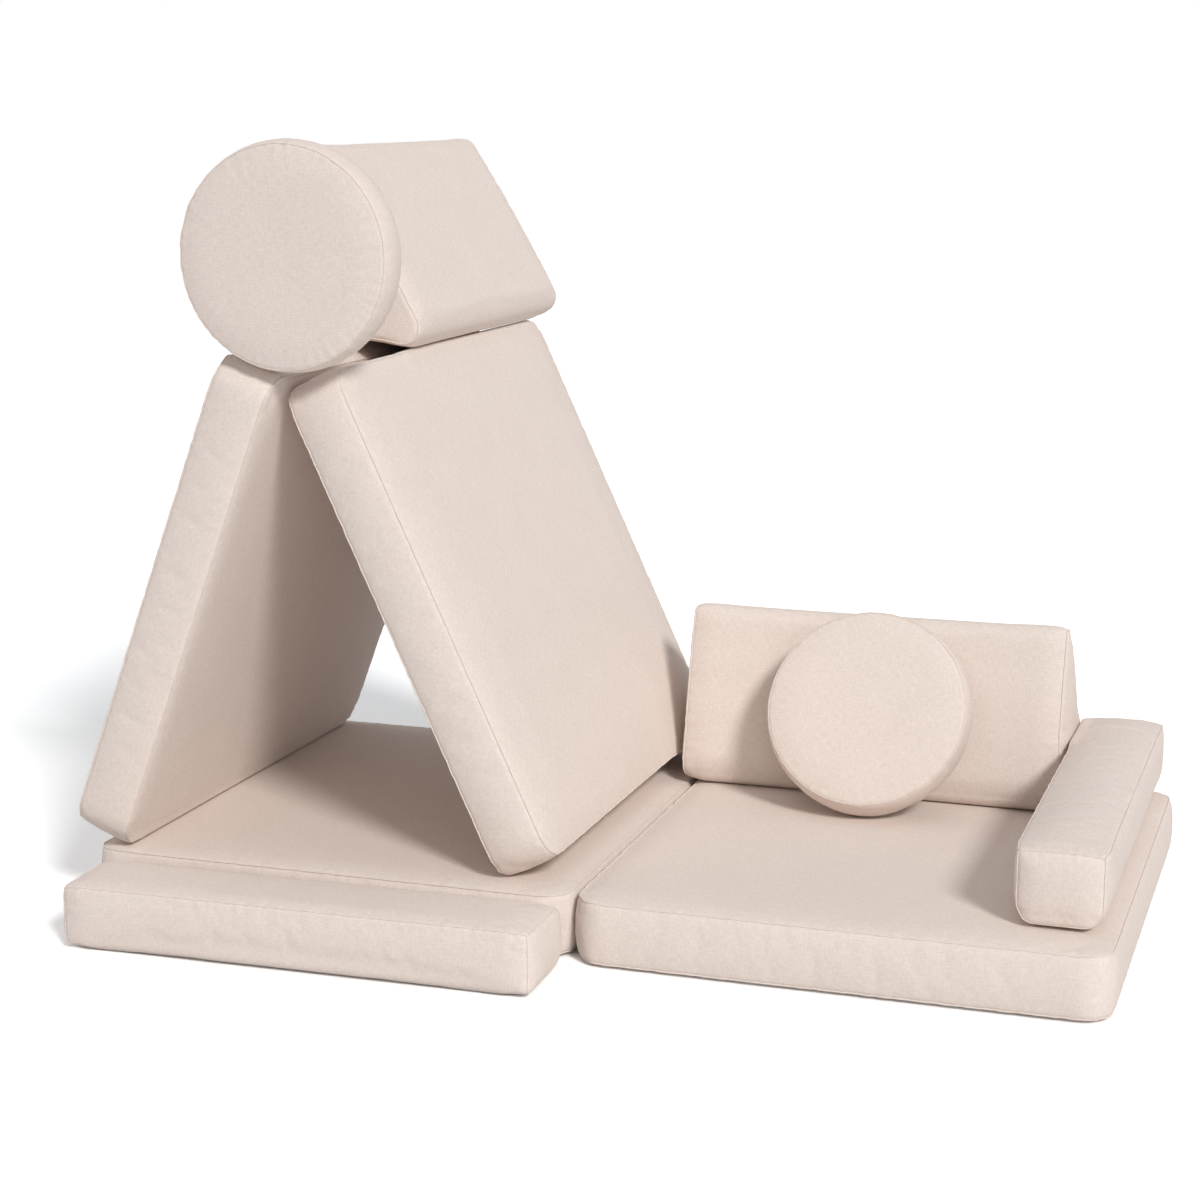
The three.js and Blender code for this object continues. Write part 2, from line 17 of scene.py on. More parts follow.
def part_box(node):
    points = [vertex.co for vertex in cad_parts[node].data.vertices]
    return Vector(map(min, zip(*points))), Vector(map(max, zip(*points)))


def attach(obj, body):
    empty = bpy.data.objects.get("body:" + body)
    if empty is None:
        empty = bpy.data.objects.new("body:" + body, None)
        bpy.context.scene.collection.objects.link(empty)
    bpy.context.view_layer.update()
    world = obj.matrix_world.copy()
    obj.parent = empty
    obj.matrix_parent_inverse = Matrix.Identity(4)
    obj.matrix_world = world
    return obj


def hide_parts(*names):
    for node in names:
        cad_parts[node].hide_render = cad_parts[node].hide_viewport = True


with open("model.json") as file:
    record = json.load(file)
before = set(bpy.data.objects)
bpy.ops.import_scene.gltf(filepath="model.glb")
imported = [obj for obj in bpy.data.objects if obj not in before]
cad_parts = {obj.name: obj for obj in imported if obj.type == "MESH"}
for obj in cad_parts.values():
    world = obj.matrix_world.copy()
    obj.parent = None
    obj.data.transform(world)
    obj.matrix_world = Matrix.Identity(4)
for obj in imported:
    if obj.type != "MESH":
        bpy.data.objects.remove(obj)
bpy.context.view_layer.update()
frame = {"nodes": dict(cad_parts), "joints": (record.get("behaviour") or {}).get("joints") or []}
scene = bpy.context.scene
scene.view_settings.view_transform = "Standard"
MM = 0.001
UP = Vector((0, 0, 1))

# Camera
CAMERA_LENS = 73.02  # mm, for a sensor 36 mm wide
CAMERA_PLACE = Vector((1.175, -3.382, 1.322))  # from the right mat's lowest corner
CAMERA_DOWN = 11.7  # degrees
CAMERA_LEFT = 18.3  # degrees

camera_data = bpy.data.cameras.new("photo_camera")
camera_data.sensor_width = 36
camera_data.lens = CAMERA_LENS
camera_data.clip_end = 60
photo_camera = bpy.data.objects.new("photo_camera", camera_data)
photo_camera.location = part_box("right_mat_cover")[0] + CAMERA_PLACE
photo_camera.rotation_euler = (math.radians(90 - CAMERA_DOWN), 0, math.radians(CAMERA_LEFT))
scene.collection.objects.link(photo_camera)
scene.camera = photo_camera

# What each kind of cushion needs: the side of the small faces that its cover is worked in, how many
# times its walls and its seams are smoothed, and half the width of the cloth edge in its seams.
Make = namedtuple("Make", "kind face wall_smoothings seam_smoothings edge")
MAT = Make("mat", 9.5 * MM, 8, 1, 1.4 * MM)
WEDGE = Make("bolster", 8.0 * MM, 10, 2, 1.4 * MM)
FRONT = Make("bolster", 6.5 * MM, 30, 6, 0.8 * MM)
ARM = Make("bolster", 6.5 * MM, 22, 4, 1.1 * MM)
DISC = Make("disc", 5.5 * MM, 10, 5, 0.8 * MM)
CUSHIONS = {
    "left_mat": MAT,
    "right_mat": MAT,
    "left_panel": MAT,
    "right_panel": MAT,
    "front_block": FRONT,
    "arm_block": ARM,
    "back_wedge": WEDGE,
    "top_wedge": WEDGE,
    "top_disc": DISC,
    "back_disc": DISC,
}
# The top wedge and the panel that carries it meet half way across the gap between them.
MEETS = {"top_wedge": "right_panel", "right_panel": "top_wedge"}

# The form of a cover and its seams
WELD = 0.01 * MM  # points closer than this are one
FACES_AT_ONCE = 64  # of a form that points are measured against, to save memory
SEWN_TURN = math.radians(24)  # where the form turns more sharply than this, it is sewn
SEAM_STEP = 3 * MM  # between the points of a seam line
SEAM_APART = 7.3  # keeps each seam's places apart from the next one's, in metres
CORNER_POINTS = 24  # of a seam along a corner
SKIN_INSET = 2.4 * MM  # the cover starts this much smaller, and swells back
SEAM_CATCH = 0.5  # points within this share of a face's side are moved onto the seam
SEAM_INSET = 2.0 * MM  # how far the stitches pull a seam in
END_INSETS = {"front_block": 6.0 * MM, "arm_block": 3.6 * MM}  # the same, round soft ends
DISC_INSET = 4.5 * MM  # the same, round a disc
DISC_PULL = (0.3, 0.3, 1)  # a disc's seams are pulled in more through its thickness
PULL_REACH = 60 * MM  # the stitches pull towards a place at most this far in, along each axis
SEAM_HELD = 6 * MM  # the cloth is fast this near a seam
SEAM_FREE = 20 * MM  # and free from here on
ARM_PRESS = 0.75  # share of the arm block's crown that its end panels hold down
ARM_PRESS_REACH = 110 * MM  # which fades out this far from each end

# The cloth
CLOTH_FRAMES = 20
SWELL = 2.8 * MM  # the most that a point of a cover may swell
LUMP = 0.7 * MM  # unevenness of the foam under the cloth
FORM_MARGIN = 0.1 * MM  # how far a cover stays inside its solid
GROOVE = 1.2 * MM  # depth of the seams
GROOVE_REACH = 4.5 * MM  # from the seam to where about a third of that depth is left
PUCKER = 1.3 * MM  # height of the gathers beside a seam
PUCKER_REACH = 14 * MM  # from the seam to where about a third of that height is left
PUCKER_LENGTHS = (17, 23, 31, 44, 63)  # mm, from one gather to the next

# Contacts
CONTACT_FULL = 8 * MM  # a cover is filled out where another cushion is this near
CONTACT_NONE = 24 * MM  # and no more from here on
CONTACT_MARGIN = 0.15 * MM  # how far a cover that is filled out stays inside its solid
MEET_MARGIN = 0.3 * MM  # what stays open of a gap that is closed from both sides
MEET_MOST = 1 * MM  # the most that either side comes out to close it
MEET_FULL = 2 * MM  # gaps up to this wide are closed
MEET_NONE = 5 * MM  # and from here on none

# Zip channels, foam blocks and welts
CHANNEL_WIDTH = 14 * MM
CHANNEL_END = 6 * MM  # how far a channel runs on past each end of its tape
DISC_CUT = 12 * MM  # how far the cutter reaches past a disc's zip
STRAIGHT_CUT = 22 * MM  # how high the cutter of a straight zip is
DISC_CUT_STEPS = 40
CORE_INSET = 12 * MM  # the foam block stands this far behind the cover
CORE_FACE = 16 * MM  # the side of the small faces that a block is worked in
WELT_PROUD = 0.6 * MM  # the middle of a seam's cloth edge stands this far out of the cover
WELT_SUNK = -1.0 * MM  # and here where another cushion lies on it
WELT_PRESSED = 6 * MM  # which is where another cushion is this near
WELT_MARGIN = 7 * MM  # and elsewhere it keeps this far from another cushion

run_way = {joint["child"]: Vector(joint["axis"]).normalized() for joint in frame["joints"]}


def cushion_axes(name):
    """The cushion's own directions: along its zip, across it, and out of its large face."""
    zip_way = run_way[name + "_slider"]
    across = UP.cross(zip_way).normalized()
    if CUSHIONS[name].kind == "disc":
        return across, zip_way.cross(across), zip_way
    return zip_way, across, zip_way.cross(across)


def deselect_all():
    for obj in bpy.context.selected_objects:
        obj.select_set(False)


def make_active(obj):
    deselect_all()
    obj.select_set(True)
    bpy.context.view_layer.objects.active = obj


def apply_modifier(obj, kind, **settings):
    make_active(obj)
    modifier = obj.modifiers.new(kind.lower(), kind)
    for key, value in settings.items():
        setattr(modifier, key, value)
    bpy.ops.object.modifier_apply(modifier=modifier.name)


def smooth(obj, times, **settings):
    """Evens out an object's form, as often as times says."""
    apply_modifier(obj, "SMOOTH", factor=0.5, iterations=times, **settings)


def shade_smooth(obj, degrees):
    make_active(obj)
    bpy.ops.object.shade_smooth_by_angle(angle=math.radians(degrees))


def points_of(obj):
    co = np.empty(len(obj.data.vertices) * 3)
    obj.data.vertices.foreach_get("co", co)
    return co.reshape(-1, 3)


def set_points(obj, co):
    obj.data.vertices.foreach_set("co", co.ravel())
    obj.data.update()


def normals_of(obj):
    no = np.empty(len(obj.data.vertices) * 3)
    obj.data.vertices.foreach_get("normal", no)
    return no.reshape(-1, 3)


def fade(distance, full, none):
    """1 up to the distance full, 0 from the distance none on, and even in between."""
    return np.clip((none - distance) / (none - full), 0, 1)


# The outer form of a cushion and the lines where it is sewn


def outer_form(name):
    """A new object with the closed outer form of the cushion's cover."""
    source = frame["nodes"][name + "_cover"]
    form = bpy.data.objects.new(name, source.data.copy())
    scene.collection.objects.link(form)
    make_active(form)
    bpy.ops.object.mode_set(mode="EDIT")
    bpy.ops.mesh.select_all(action="SELECT")
    bpy.ops.mesh.remove_doubles(threshold=WELD)
    bpy.ops.mesh.convex_hull(delete_unused=True, use_existing_faces=False)
    bpy.ops.mesh.select_all(action="SELECT")
    bpy.ops.mesh.normals_make_consistent(inside=False)
    bpy.ops.object.mode_set(mode="OBJECT")
    return form


def hull_planes(form):
    """The outward normals of a convex form's faces, and how far out each face lies."""
    normals = np.array([face.normal for face in form.data.polygons])
    centres = np.array([face.center for face in form.data.polygons])
    return normals, (normals * centres).sum(1)


def beyond(co, planes):
    """How far each point stands out of the convex form, and the way out."""
    normals, offsets = planes
    far = np.full(len(co), -np.inf)
    way = np.zeros((len(co), 3))
    for start in range(0, len(normals), FACES_AT_ONCE):
        some = normals[start:start + FACES_AT_ONCE]
        out = co @ some.T - offsets[start:start + FACES_AT_ONCE]
        best = out.argmax(1)
        value = out[np.arange(len(co)), best]
        better = value > far
        far[better] = value[better]
        way[better] = some[best[better]]
    return far, way


def ring_at(form, axis, height):
    """The closed line where the plane at that height along axis cuts the convex form."""
    co = points_of(form)
    along = co @ np.array(axis) - height
    found = []
    for edge in form.data.edges:
        a, b = edge.vertices
        if (along[a] < 0) != (along[b] < 0):
            found.append(co[a] + (co[b] - co[a]) * along[a] / (along[a] - along[b]))
    found = np.array(found)
    middle = found.mean(0)
    side = Vector(axis).orthogonal().normalized()
    other_side = Vector(axis).cross(side)
    turn = np.arctan2((found - middle) @ np.array(other_side), (found - middle) @ np.array(side))
    return found[np.argsort(turn)]


def corner_line(form, axis, way, low, high):
    """The line along a long edge of the form: the furthest point each way between two heights."""
    points = []
    for height in np.linspace(low, high, CORNER_POINTS):
        ring = ring_at(form, axis, height)
        points.append(ring[np.argmax(ring @ np.array(way))])
    return np.array(points)


def evenly_spaced(line, closed):
    """Points every SEAM_STEP or so along a line."""
    if closed:
        line = np.vstack([line, line[:1]])
    lengths = np.linalg.norm(np.diff(line, axis=0), axis=1)
    at = np.concatenate([[0], np.cumsum(lengths)])
    count = max(3, round(at[-1] / SEAM_STEP))
    wanted = np.linspace(0, at[-1], count + 1)
    if closed:
        wanted = wanted[:-1]
    return np.stack([np.interp(wanted, at, line[:, k]) for k in range(3)], 1)


def seam_heights(form, axis):
    """Where the two seams round the form lie along axis: at its sharpest edges."""
    bm = bmesh.new()
    bm.from_mesh(form.data)
    sharp = [edge for edge in bm.edges if edge.calc_face_angle(0) > SEWN_TURN]
    ends = np.array([vert.co for edge in sharp for vert in edge.verts]) @ np.array(axis)
    weight = np.repeat([edge.calc_length() for edge in sharp], 2)
    bm.free()
    middle = (ends.min() + ends.max()) / 2
    heights = []
    for part in (ends < middle, ends >= middle):
        order = np.argsort(ends[part])
        share = np.cumsum(weight[part][order])
        heights.append(ends[part][order][np.searchsorted(share, share[-1] / 2)])
    return heights


def seams_of(name, form):
    """The seam lines of a cushion, as (points, closed): two rings, and corners on two blocks."""
    along, across, out = cushion_axes(name)
    axis = along if CUSHIONS[name].kind == "bolster" else out
    heights = seam_heights(form, axis)
    seams = [(ring_at(form, axis, height), True) for height in heights]
    # The way from the middle of the block towards each corner that is sewn.
    corners = []
    if name == "front_block":
        corners = [-across + out * 1.2]
    if name == "arm_block":
        corners = [across * side + UP * 0.9 for side in (-1, 1)]
    for way in corners:
        seams.append((corner_line(form, axis, way.normalized(), *heights), False))
    return [(evenly_spaced(line, closed), closed) for line, closed in seams]


def seam_finder(seams):
    """A search tree over all seam points, with each point's place along its seam."""
    tree = KDTree(sum(len(line) for line, closed in seams))
    place = []
    for number, (line, closed) in enumerate(seams):
        for k, point in enumerate(line):
            tree.insert(point, len(place))
            place.append(k * SEAM_STEP + number * SEAM_APART)
    tree.balance()
    return tree, np.array(place)


def near_seams(obj, tree):
    """Each vertex's nearest seam point and its distance."""
    found = [tree.find(point) for point in points_of(obj)]
    return np.array([hit[1] for hit in found]), np.array([hit[2] for hit in found])


# A cover before it swells, with its seam lines, the planes of its solid, the search tree over its
# seam points and the place of each of these points along its seam

Started = namedtuple("Started", "cover seams planes tree place")


def pull_in_seams(name, co, seams, tree):
    """Moves the points beside a seam onto it, and in by the pull of its stitches."""
    make = CUSHIONS[name]
    axes = np.array(cushion_axes(name))
    middle = co.mean(0)
    end_points = sum(len(line) for line, closed in seams if closed)
    for index, point in enumerate(co):
        seam_point, number, distance = tree.find(point)
        if distance >= SEAM_CATCH * make.face:
            continue
        inward = (middle - np.array(seam_point)) @ axes.T
        if make.kind == "disc":
            inset = DISC_INSET
            inward *= DISC_PULL
        else:
            inset = END_INSETS.get(name, SEAM_INSET) if number < end_points else SEAM_INSET
            inward = np.clip(inward, -PULL_REACH, PULL_REACH)
        co[index] = np.array(seam_point) + inward @ axes / np.linalg.norm(inward) * inset


def press_arm_ends(co, seams):
    """The arm block's crown runs out towards its ends, where the end panels hold it down."""
    ends = [line[:, 1].mean() for line, closed in seams if closed]
    corner = min(line[:, 2].min() for line, closed in seams if not closed)
    inside = np.minimum(co[:, 1] - min(ends), max(ends) - co[:, 1])
    co = co.copy()
    co[:, 2] -= np.maximum(co[:, 2] - corner, 0) * ARM_PRESS * fade(inside, 0, ARM_PRESS_REACH)
    return co


def start_cover(name):
    """The cover before it swells: a slightly smaller form in even small faces, laid along its own
    edges, with a row of points on each seam."""
    form = outer_form(name)
    seams = seams_of(name, form)
    planes = hull_planes(form)
    small = bpy.data.objects.new(name + "_inset", form.data.copy())
    scene.collection.objects.link(small)
    set_points(small, points_of(small) - normals_of(small) * SKIN_INSET)
    axes = np.array(cushion_axes(name))
    set_points(form, points_of(small) @ axes.T)
    apply_modifier(form, "REMESH", mode="VOXEL", voxel_size=CUSHIONS[name].face, adaptivity=0)
    set_points(form, points_of(form) @ axes)
    apply_modifier(form, "SHRINKWRAP", target=small, wrap_method="NEAREST_SURFACEPOINT")
    bpy.data.objects.remove(small)
    tree, place = seam_finder(seams)
    co = points_of(form)
    pull_in_seams(name, co, seams, tree)
    if name == "arm_block":
        co = press_arm_ends(co, seams)
        seams = [(press_arm_ends(line, seams), closed) for line, closed in seams]
        tree, place = seam_finder(seams)
    set_points(form, co)
    smooth(form, CUSHIONS[name].seam_smoothings)
    distance = near_seams(form, tree)[1]
    held = form.vertex_groups.new(name="held")
    free = form.vertex_groups.new(name="free")
    for index, weight in enumerate(fade(distance, SEAM_HELD, SEAM_FREE)):
        held.add([index], float(weight), "REPLACE")
        free.add([index], float(1 - weight), "REPLACE")
    smooth(form, CUSHIONS[name].wall_smoothings, vertex_group="free")
    return Started(form, seams, planes, tree, place)


# The cloth swells, is sewn, and lies against its neighbours


def hang_cloth(cover):
    """Cloth that the air in the cover presses outwards, sewn fast at its seams."""
    cloth = cover.modifiers.new("cloth", "CLOTH")
    settings = cloth.settings
    settings.quality = 5
    settings.mass = 0.3
    settings.tension_stiffness = 25
    settings.compression_stiffness = 25
    settings.shear_stiffness = 8
    settings.bending_stiffness = 0.6
    settings.use_pressure = True
    settings.uniform_pressure_force = 4
    settings.vertex_group_mass = "held"
    settings.effector_weights.gravity = 0
    settings.shrink_min = -0.004
    cloth.collision_settings.use_collision = False
    cloth.point_cache.frame_start = 1
    cloth.point_cache.frame_end = CLOTH_FRAMES


def finish_cover(cover, before, planes):
    """Caps the swelling, keeps the cover inside its form and refines it."""
    co = points_of(cover)
    moved = co - before
    size = np.linalg.norm(moved, axis=1, keepdims=True)
    co = before + moved * (SWELL * np.tanh(size / SWELL) / np.maximum(size, 1e-9))
    # Broad lumps about 110 mm apart and smaller ones about 50 mm apart, more in than out.
    lumps = [noise.noise(Vector(p) * 9) * 0.7 + noise.noise(Vector(p) * 21) * 0.35 for p in co]
    co += normals_of(cover) * (np.array(lumps)[:, None] - 0.4) * LUMP
    out, way = beyond(co, planes)
    co -= way * np.maximum(out + FORM_MARGIN, 0)[:, None]
    set_points(cover, co)
    apply_modifier(cover, "SUBSURF", levels=1, render_levels=1)
    cover.vertex_groups.clear()


def sew(cover, tree, place, seed):
    """Draws the cloth in along the seams and gathers it in small puckers beside them."""
    nearest, distance = near_seams(cover, tree)
    phase = 2 * math.pi * place[nearest]
    random = np.random.default_rng(seed)
    gather = np.zeros(len(phase))
    for length in PUCKER_LENGTHS:
        # The gathers of one length come and go along the seam, every 0.2 to 0.5 m.
        share = 0.5 + 0.5 * np.sin(phase / random.uniform(0.2, 0.5) + random.uniform(0, 6))
        gather += share * np.sin(phase / (length * MM) + random.uniform(0, 6))
    gather /= 3
    groove = GROOVE * np.exp(-((distance / GROOVE_REACH) ** 2))
    pucker = PUCKER * np.exp(-distance / PUCKER_REACH) * (gather - 0.6)
    set_points(cover, points_of(cover) + normals_of(cover) * (pucker - groove)[:, None])


def search_tree(co):
    """A tree that finds the nearest of these points to any place."""
    tree = KDTree(len(co))
    for index, point in enumerate(co):
        tree.insert(point, index)
    tree.balance()
    return tree


def room_around(name, co):
    """How far each point is from the nearest other cushion, at most CONTACT_NONE."""
    reach = CONTACT_NONE
    room = np.full(len(co), reach)
    for other, (tree, low, high) in neighbours.items():
        if other == name:
            continue
        close = np.flatnonzero((co > low - reach).all(1) & (co < high + reach).all(1))
        for index in close:
            room[index] = min(room[index], tree.find(co[index])[2])
    return room


def fill_contacts(name, cover):
    """Lets the cover come out to its full form where it lies or leans on another cushion. The top
    wedge and the right panel, which carries it, also meet half way."""
    co = points_of(cover)
    share = fade(room_around(name, co), CONTACT_FULL, CONTACT_NONE)
    near = np.flatnonzero(share > 0)
    out, way = beyond(co[near], started[name].planes)
    co[near] -= way * ((out + CONTACT_MARGIN) * share[near])[:, None]
    if name in MEETS:
        gap = beyond(co[near], started[MEETS[name]].planes)[0]
        push = np.clip((gap - MEET_MARGIN) / 2, 0, MEET_MOST) * fade(gap, MEET_FULL, MEET_NONE)
        co[near] += way * (push * share[near])[:, None]
    set_points(cover, co)


started = {name: start_cover(name) for name in CUSHIONS}
before = {name: points_of(started[name].cover) for name in CUSHIONS}
for name in CUSHIONS:
    hang_cloth(started[name].cover)
for number in range(1, CLOTH_FRAMES + 1):
    scene.frame_set(number)
for name in CUSHIONS:
    make_active(started[name].cover)
    bpy.ops.object.modifier_apply(modifier="cloth")
scene.frame_set(1)

covers = {name: started[name].cover for name in CUSHIONS}
for seed, (name, cover) in enumerate(covers.items()):
    finish_cover(cover, before[name], started[name].planes)
    sew(cover, started[name].tree, started[name].place, seed + 11)

neighbours = {}
for name, cover in covers.items():
    co = points_of(cover)
    neighbours[name] = (search_tree(co), co.min(0), co.max(0))
for name, cover in covers.items():
    fill_contacts(name, cover)

# The channel that each zip lies in, and the map that lays the weave


def disc_channel(bm, tape, centre, along, across, out):
    """A curved bar round the stretch of a disc's rim where its zip lies."""
    tape = tape - centre
    radius = np.hypot(tape @ along, tape @ across)
    turn = np.arctan2(tape @ across, tape @ along)
    middle = math.atan2(np.sin(turn).sum(), np.cos(turn).sum())
    half = np.abs((turn - middle + math.pi) % (2 * math.pi) - math.pi).max()
    half += CHANNEL_END / radius.max()
    level = (tape @ out).mean()
    inner, outer = radius.min(), radius.max() + DISC_CUT
    rings = []
    for k in range(DISC_CUT_STEPS + 1):
        angle = middle - half + 2 * half * k / DISC_CUT_STEPS
        way = along * math.cos(angle) + across * math.sin(angle)
        ring = []
        for far, side in ((inner, -1), (outer, -1), (outer, 1), (inner, 1)):
            ring.append(bm.verts.new(centre + way * far + out * (level + side * CHANNEL_WIDTH / 2)))
        rings.append(ring)
    for a, b in zip(rings, rings[1:]):
        for k in range(4):
            bm.faces.new((a[k], a[(k + 1) % 4], b[(k + 1) % 4], b[k]))
    bm.faces.new(rings[0])
    bm.faces.new(rings[-1][::-1])


def straight_channel(bm, tape, centre, along, across, out):
    """A straight bar along the tape of a zip, open to the side that the tape shows on."""
    thin, wide = (across, out) if np.ptp(tape @ across) < np.ptp(tape @ out) else (out, across)
    if (tape.mean(0) - centre) @ thin < 0:
        thin = -thin
    lengths = ((tape @ along).min() - CHANNEL_END, (tape @ along).max() + CHANNEL_END)
    bottom, level = (tape @ thin).min(), (tape @ wide).mean()
    for length, side, height in product(lengths, (-1, 1), (bottom, bottom + STRAIGHT_CUT)):
        bm.verts.new(along * length + wide * (level + side * CHANNEL_WIDTH / 2) + thin * height)
    bmesh.ops.convex_hull(bm, input=bm.verts)


def cut_zip_channel(name, cover):
    """Cuts the narrow channel that the zip lies in."""
    axes = (np.array(way) for way in cushion_axes(name))
    tape = points_of(frame["nodes"][name + "_zip"])
    shape = disc_channel if CUSHIONS[name].kind == "disc" else straight_channel
    bm = bmesh.new()
    shape(bm, tape, points_of(cover).mean(0), *axes)
    bmesh.ops.recalc_face_normals(bm, faces=bm.faces)
    mesh = bpy.data.meshes.new(name + "_cutter")
    bm.to_mesh(mesh)
    bm.free()
    cutter = bpy.data.objects.new(name + "_cutter", mesh)
    scene.collection.objects.link(cutter)
    apply_modifier(cover, "BOOLEAN", operation="DIFFERENCE", solver="EXACT", object=cutter)
    bpy.data.objects.remove(cutter)


def weave_map(name, cover):
    """A map in metres that lays the weave flat on each side of the cushion, along its own edges."""
    axes = np.stack([np.array(way) for way in cushion_axes(name)], 1)
    mesh = cover.data
    layer = mesh.uv_layers.new(name="weave")
    normal = np.empty(len(mesh.polygons) * 3)
    mesh.polygons.foreach_get("normal", normal)
    side = np.abs(normal.reshape(-1, 3) @ axes).argmax(1)
    corners = np.empty(len(mesh.loops), int)
    mesh.loops.foreach_get("vertex_index", corners)
    totals = np.empty(len(mesh.polygons), int)
    mesh.polygons.foreach_get("loop_total", totals)
    side = np.repeat(side, totals)
    along, across, out = (points_of(cover)[corners] @ axes).T
    u = np.choose(side, [across, along, along])
    v = np.choose(side, [out, out, across])
    # Each side's stretch of cloth is cut from another part of the roll.
    layer.uv.foreach_set("vector", np.stack([u + side * 1.7, v], 1).astype(np.float32).ravel())


for name, cover in covers.items():
    cut_zip_channel(name, cover)
    weave_map(name, cover)
    shade_smooth(cover, 50)

# Foam blocks and the edges of cloth in the seams


def foam_block(name):
    """The foam inside a cover: the same form, further in, cut in one piece."""
    block = outer_form(name)
    block.name = name + "_core"
    set_points(block, points_of(block) - normals_of(block) * CORE_INSET)
    apply_modifier(block, "REMESH", mode="VOXEL", voxel_size=CORE_FACE, adaptivity=0)
    smooth(block, 3)
    shade_smooth(block, 40)
    return block


def seam_welt(name):
    """The folded edge of cloth that stands in each seam."""
    surface = BVHTree.FromObject(covers[name], bpy.context.evaluated_depsgraph_get())
    curve = bpy.data.curves.new(name + "_seams", "CURVE")
    curve.dimensions = "3D"
    curve.bevel_depth = CUSHIONS[name].edge
    curve.bevel_resolution = 1
    random = np.random.default_rng(len(name) * 7)
    for line, closed in started[name].seams:
        points = line[::2]
        spline = curve.splines.new("POLY")
        spline.points.add(len(points) - 1)
        spline.use_cyclic_u = closed
        for spot, point, room in zip(spline.points, points, room_around(name, points)):
            on_cover, normal = surface.find_nearest(Vector(point))[:2]
            out = min(room - WELT_MARGIN, WELT_PROUD) if room > WELT_PRESSED else WELT_SUNK
            spot.co = (*(on_cover + normal * out), 1)
            # The edge of cloth is up to 15 in 100 thinner or thicker from point to point.
            spot.radius = 0.85 + 0.3 * random.random()
    welt = bpy.data.objects.new(name + "_seams", curve)
    scene.collection.objects.link(welt)
    make_active(welt)
    bpy.ops.object.convert(target="MESH")
    return bpy.context.view_layer.objects.active


welts = {name: seam_welt(name) for name in CUSHIONS}
cores = {name: foam_block(name) for name in CUSHIONS}

# Materials

LINEN = "#E4D6CD"
LINEN_DARK = "#DACBC1"
LINEN_LIGHT = "#EEE0D6"


def linear(code):
    """An sRGB hex colour as linear red, green, blue and alpha."""
    parts = [int(code[k:k + 2], 16) / 255 for k in (1, 3, 5)]
    return [p / 12.92 if p <= 0.04045 else ((p + 0.055) / 1.055) ** 2.4 for p in parts] + [1]


def add_node(tree, kind, links=(), inputs=(), **settings):
    """Adds a node: links are (input, output socket), inputs (input, value), settings its properties."""
    node = tree.nodes.new(kind)
    for key, value in settings.items():
        setattr(node, key, value)
    for socket, value in inputs:
        node.inputs[socket].default_value = value
    for socket, source in links:
        tree.links.new(source, node.inputs[socket])
    return node


def new_material(name):
    """A new material and its empty node tree."""
    material = bpy.data.materials.new(name)
    material.use_nodes = True
    tree = material.node_tree
    tree.nodes.clear()
    return material, tree


def finish_material(tree, colour, height, depth, strength, surface):
    """The shader of a material, with its colour, its relief and its surface."""
    relief = [("Strength", strength), ("Distance", depth)]
    bump = add_node(tree, "ShaderNodeBump", [("Height", height)], relief)
    links = [("Base Color", colour), ("Normal", bump.outputs["Normal"])]
    shader = add_node(tree, "ShaderNodeBsdfPrincipled", links, surface)
    add_node(tree, "ShaderNodeOutputMaterial", [("Surface", shader.outputs[0])])


def woven_linen():
    """Polyester yarn spun to look like flax, in a plain weave, not glazed. To the eye it is a pale,
    warm and quite matt cloth, faintly mottled by the slubs in its yarn, which run both ways."""
    material, tree = new_material("woven_linen")
    place = add_node(tree, "ShaderNodeUVMap", uv_map="weave").outputs["UV"]
    # The real yarn is about 0.6 mm wide, too fine to show, so only slubs are drawn, four times as
    # wide as the yarn: 420 to the metre across them (2.4 mm) and 90 along them (11 mm).
    yarns = []
    for scale in ((420, 90, 1), (90, 420, 1)):
        laid = add_node(tree, "ShaderNodeMapping", [("Vector", place)], [("Scale", scale)])
        slubs = add_node(
            tree, "ShaderNodeTexNoise", [("Vector", laid.outputs["Vector"])],
            [("Scale", 1), ("Detail", 2), ("Roughness", 0.6)])
        yarns.append(slubs.outputs["Fac"])
    both = add_node(tree, "ShaderNodeMath", [(0, yarns[0]), (1, yarns[1])], operation="ADD").outputs[0]
    # Broad clouds of 70 mm in the dye, a quarter as strong as the slubs.
    clouds = add_node(tree, "ShaderNodeTexNoise", [("Vector", place)], [("Scale", 14), ("Detail", 3)])
    mixed = add_node(
        tree, "ShaderNodeMath", [(0, clouds.outputs["Fac"]), (2, both)], [(1, 0.25)],
        operation="MULTIPLY_ADD")
    spread = add_node(
        tree, "ShaderNodeMapRange", [("Value", mixed.outputs[0])], [("From Min", 0.7), ("From Max", 1.6)])
    ramp = add_node(tree, "ShaderNodeValToRGB", [("Fac", spread.outputs["Result"])])
    ramp.color_ramp.elements[0].color = linear(LINEN_DARK)
    ramp.color_ramp.elements[1].color = linear(LINEN_LIGHT)
    ramp.color_ramp.elements.new(0.5).color = linear(LINEN)
    surface = (
        ("Roughness", 0.95), ("Sheen Weight", 0.05), ("Sheen Roughness", 0.5), ("Specular IOR Level", 0.15))
    finish_material(tree, ramp.outputs["Color"], both, 0.6 * MM, 0.5, surface)
    return material


